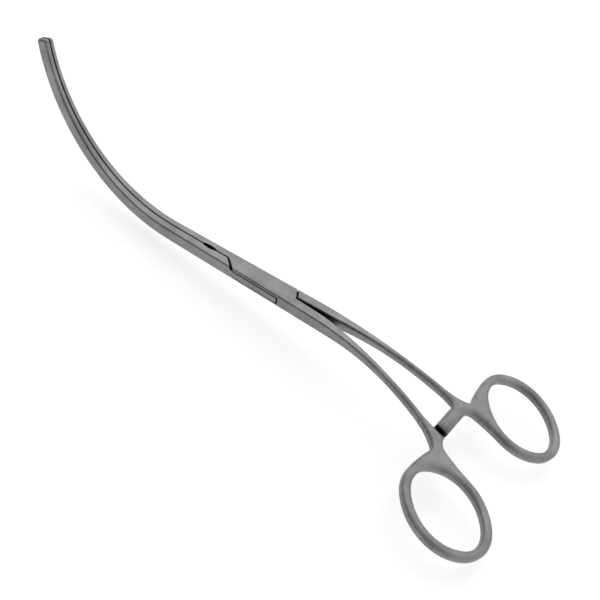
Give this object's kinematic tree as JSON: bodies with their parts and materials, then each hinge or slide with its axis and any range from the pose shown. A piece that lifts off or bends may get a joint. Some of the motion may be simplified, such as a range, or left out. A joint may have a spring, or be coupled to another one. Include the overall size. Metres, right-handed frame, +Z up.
{
  "type": "vascular clamp",
  "caption": "Ratcheted vascular clamp in satin steel with long upward-curved jaws, a box lock, slender shanks that bend back, a toothed ratchet and oval finger rings.",
  "frame": {"origin": "middle of the bounding box at its foot, where the closed clamp rests on a table", "axes": "+X along the clamp from the jaw tips to the finger rings, +Y the way the arms spread, +Z up, with the jaws curving upwards"},
  "size_m": [0.2234, 0.0808, 0.0419],
  "materials": {
    "steel": "satin"
  },
  "bodies": {
    "outer_arm": {"box_arm": "steel", "pivot_pin": "steel"},
    "inner_arm": {"tongue_arm": "steel"}
  },
  "joints": [
    {"name": "box_lock", "type": "hinge", "parent": "outer_arm", "child": "inner_arm", "pos_m": [0.00008, 0, 0.00931], "axis": [-0.1549, 0, 0.9879], "range_deg": [0, 35]}
  ]
}
